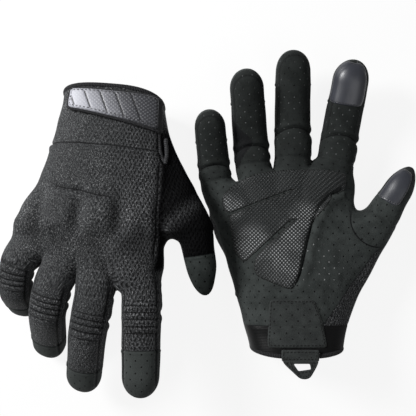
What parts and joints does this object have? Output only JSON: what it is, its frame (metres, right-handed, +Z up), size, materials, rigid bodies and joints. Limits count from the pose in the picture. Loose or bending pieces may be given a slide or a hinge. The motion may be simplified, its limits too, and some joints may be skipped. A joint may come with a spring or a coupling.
{
  "type": "riding gloves",
  "caption": "Full-finger riding gloves with knuckle guard, pleated knuckles, grip patches and a hook-and-loop wrist strap.",
  "frame": {"origin": "middle of the pair's footprint, on the surface that it lies on", "axes": "+Z up; +X across the pair, from the palm-down glove to the palm-up glove; +Y towards the palm-up glove's fingertips"},
  "size_m": [0.3101, 0.253, 0.0713],
  "materials": {
    "knit": "spacer-mesh knit, matt",
    "palm_suede": "perforated microfibre suede, matt",
    "tip_suede": "microfibre suede, matt",
    "touch_leather": "smooth coated leather, satin",
    "grip_patch": "embossed grip print, satin",
    "strap_rubber": "moulded rubber, satin",
    "binding": "woven binding, matt",
    "loop_tape": "loop pile, matt",
    "hook_tape": "moulded hooks, matt",
    "guard_foam": "moulded foam, matt"
  },
  "bodies": {
    "hands": {"palm_down_cuff": "knit", "palm_down_cuff_binding": "binding", "palm_down_loop_tape": "loop_tape", "palm_down_back_panel": "knit", "palm_down_palm_panel": "palm_suede", "palm_down_knuckle_guard": "guard_foam", "palm_down_upper_grip_patch": "grip_patch", "palm_down_middle_grip_patch": "grip_patch", "palm_down_lower_grip_patch": "grip_patch", "palm_down_heel_patch": "palm_suede", "palm_down_thumb_base": "knit", "palm_up_cuff": "knit", "palm_up_cuff_binding": "binding", "palm_up_loop_tape": "loop_tape", "palm_up_back_panel": "knit", "palm_up_palm_panel": "palm_suede", "palm_up_knuckle_guard": "guard_foam", "palm_up_upper_grip_patch": "grip_patch", "palm_up_middle_grip_patch": "grip_patch", "palm_up_lower_grip_patch": "grip_patch", "palm_up_heel_patch": "palm_suede", "palm_up_thumb_base": "knit"},
    "palm_down_index_base": {"palm_down_index_base": "knit", "palm_down_index_flex_panel": "knit"},
    "palm_down_index_tip": {"palm_down_index_tip": "tip_suede", "palm_down_index_touch_patch": "touch_leather"},
    "palm_down_middle_base": {"palm_down_middle_base": "knit", "palm_down_middle_flex_panel": "knit"},
    "palm_down_middle_tip": {"palm_down_middle_tip": "tip_suede"},
    "palm_down_ring_base": {"palm_down_ring_base": "knit", "palm_down_ring_flex_panel": "knit"},
    "palm_down_ring_tip": {"palm_down_ring_tip": "tip_suede"},
    "palm_down_little_base": {"palm_down_little_base": "knit", "palm_down_little_flex_panel": "knit"},
    "palm_down_little_tip": {"palm_down_little_tip": "tip_suede"},
    "palm_down_thumb_tip": {"palm_down_thumb_tip": "tip_suede", "palm_down_thumb_touch_patch": "touch_leather"},
    "palm_down_strap": {"palm_down_closure_strap": "binding", "palm_down_hook_tape": "hook_tape", "palm_down_strap_grip": "strap_rubber"},
    "palm_down_loop": {"palm_down_pull_loop": "palm_suede"},
    "palm_up_index_base": {"palm_up_index_base": "knit", "palm_up_index_flex_panel": "knit"},
    "palm_up_index_tip": {"palm_up_index_tip": "tip_suede", "palm_up_index_touch_patch": "touch_leather"},
    "palm_up_middle_base": {"palm_up_middle_base": "knit", "palm_up_middle_flex_panel": "knit"},
    "palm_up_middle_tip": {"palm_up_middle_tip": "tip_suede"},
    "palm_up_ring_base": {"palm_up_ring_base": "knit", "palm_up_ring_flex_panel": "knit"},
    "palm_up_ring_tip": {"palm_up_ring_tip": "tip_suede"},
    "palm_up_little_base": {"palm_up_little_base": "knit", "palm_up_little_flex_panel": "knit"},
    "palm_up_little_tip": {"palm_up_little_tip": "tip_suede"},
    "palm_up_thumb_tip": {"palm_up_thumb_tip": "tip_suede", "palm_up_thumb_touch_patch": "touch_leather"},
    "palm_up_strap": {"palm_up_closure_strap": "binding", "palm_up_hook_tape": "hook_tape", "palm_up_strap_grip": "strap_rubber"},
    "palm_up_loop": {"palm_up_pull_loop": "palm_suede"}
  },
  "joints": [
    {"name": "palm_down_index_knuckle", "type": "hinge", "parent": "hands", "child": "palm_down_index_base", "pos_m": [-0.0486, -0.04651, 0.04113], "axis": [0.9997, -0.0022, 0.0247], "range_deg": [-3, 47], "stiffness_Nm_per_rad": 0.25},
    {"name": "palm_down_index_middle", "type": "hinge", "parent": "palm_down_index_base", "child": "palm_down_index_tip", "pos_m": [-0.04874, -0.06895, 0.04487], "axis": [0.9997, -0.0022, 0.0247], "range_deg": [-6, 64], "stiffness_Nm_per_rad": 0.15},
    {"name": "palm_down_middle_knuckle", "type": "hinge", "parent": "hands", "child": "palm_down_middle_base", "pos_m": [-0.08065, -0.04694, 0.04045], "axis": [0.9744, -0.2135, 0.0709], "range_deg": [-17, 33], "stiffness_Nm_per_rad": 0.25},
    {"name": "palm_down_middle_middle", "type": "hinge", "parent": "palm_down_middle_base", "child": "palm_down_middle_tip", "pos_m": [-0.08619, -0.073, 0.03807], "axis": [0.9744, -0.2135, 0.0709], "range_deg": [-26, 44], "stiffness_Nm_per_rad": 0.15},
    {"name": "palm_down_ring_knuckle", "type": "hinge", "parent": "hands", "child": "palm_down_ring_base", "pos_m": [-0.11071, -0.04123, 0.03897], "axis": [0.9538, -0.2876, 0.0868], "range_deg": [-28, 22], "stiffness_Nm_per_rad": 0.25},
    {"name": "palm_down_ring_middle", "type": "hinge", "parent": "palm_down_ring_base", "child": "palm_down_ring_tip", "pos_m": [-0.11552, -0.05881, 0.03361], "axis": [0.9538, -0.2876, 0.0868], "range_deg": [-33, 37], "stiffness_Nm_per_rad": 0.15},
    {"name": "palm_down_little_knuckle", "type": "hinge", "parent": "hands", "child": "palm_down_little_base", "pos_m": [-0.13766, -0.02734, 0.03678], "axis": [0.9724, -0.2218, 0.0726], "range_deg": [-34, 16], "stiffness_Nm_per_rad": 0.25},
    {"name": "palm_down_little_middle", "type": "hinge", "parent": "palm_down_little_base", "child": "palm_down_little_tip", "pos_m": [-0.14048, -0.04165, 0.03086], "axis": [0.9724, -0.2218, 0.0726], "range_deg": [-42, 28], "stiffness_Nm_per_rad": 0.15},
    {"name": "palm_down_thumb", "type": "hinge", "parent": "hands", "child": "palm_down_thumb_tip", "pos_m": [-0.01128, -0.00833, 0.03358], "axis": [0.9872, 0.1589, -0.0113], "range_deg": [-14, 36], "stiffness_Nm_per_rad": 0.2},
    {"name": "palm_down_strap", "type": "hinge", "parent": "hands", "child": "palm_down_strap", "pos_m": [-0.03409, 0.09025, 0.03594], "axis": [0.0511, 0.9753, -0.2147], "range_deg": [0, 115]},
    {"name": "palm_down_loop", "type": "hinge", "parent": "hands", "child": "palm_down_loop", "pos_m": [-0.07177, 0.09063, 0.0017], "axis": [-0.9984, 0.0448, -0.0341], "range_deg": [-165, 0]},
    {"name": "palm_up_index_knuckle", "type": "hinge", "parent": "hands", "child": "palm_up_index_base", "pos_m": [0.09382, 0.04275, 0.02892], "axis": [0.9903, -0.1386, 0.0126], "range_deg": [-6, 44], "stiffness_Nm_per_rad": 0.25},
    {"name": "palm_up_index_middle", "type": "hinge", "parent": "palm_up_index_base", "child": "palm_up_index_tip", "pos_m": [0.09697, 0.06528, 0.02926], "axis": [0.9903, -0.1386, 0.0126], "range_deg": [-20, 50], "stiffness_Nm_per_rad": 0.15},
    {"name": "palm_up_middle_knuckle", "type": "hinge", "parent": "hands", "child": "palm_up_middle_base", "pos_m": [0.06214, 0.0448, 0.02874], "axis": [0.9997, 0.0261, -0.0024], "range_deg": [-5, 45], "stiffness_Nm_per_rad": 0.25},
    {"name": "palm_up_middle_middle", "type": "hinge", "parent": "palm_up_middle_base", "child": "palm_up_middle_tip", "pos_m": [0.06144, 0.07154, 0.02865], "axis": [0.9997, 0.0261, -0.0024], "range_deg": [-18, 52], "stiffness_Nm_per_rad": 0.15},
    {"name": "palm_up_ring_knuckle", "type": "hinge", "parent": "hands", "child": "palm_up_ring_base", "pos_m": [0.03177, 0.0405, 0.02863], "axis": [0.9945, 0.1041, -0.0095], "range_deg": [-7, 43], "stiffness_Nm_per_rad": 0.25},
    {"name": "palm_up_ring_middle", "type": "hinge", "parent": "palm_up_ring_base", "child": "palm_up_ring_tip", "pos_m": [0.0298, 0.05938, 0.02923], "axis": [0.9945, 0.1041, -0.0095], "range_deg": [-24, 46], "stiffness_Nm_per_rad": 0.15},
    {"name": "palm_up_little_knuckle", "type": "hinge", "parent": "hands", "child": "palm_up_little_base", "pos_m": [0.00366, 0.02766, 0.02829], "axis": [0.9936, 0.1127, -0.0103], "range_deg": [-8, 42], "stiffness_Nm_per_rad": 0.25},
    {"name": "palm_up_little_middle", "type": "hinge", "parent": "palm_up_little_base", "child": "palm_up_little_tip", "pos_m": [0.00189, 0.04329, 0.02907], "axis": [0.9936, 0.1127, -0.0103], "range_deg": [-24, 46], "stiffness_Nm_per_rad": 0.15},
    {"name": "palm_up_thumb", "type": "hinge", "parent": "hands", "child": "palm_up_thumb_tip", "pos_m": [0.12631, 0.00272, 0.03257], "axis": [0.8572, -0.5129, 0.0467], "range_deg": [-10, 40], "stiffness_Nm_per_rad": 0.2},
    {"name": "palm_up_strap", "type": "hinge", "parent": "hands", "child": "palm_up_strap", "pos_m": [0.09773, -0.09424, 0.01519], "axis": [0, -0.9959, 0.0906], "range_deg": [0, 115]},
    {"name": "palm_up_loop", "type": "hinge", "parent": "hands", "child": "palm_up_loop", "pos_m": [0.0626, -0.09654, 0.05395], "axis": [-1, 0, 0], "range_deg": [0, 165]}
  ]
}
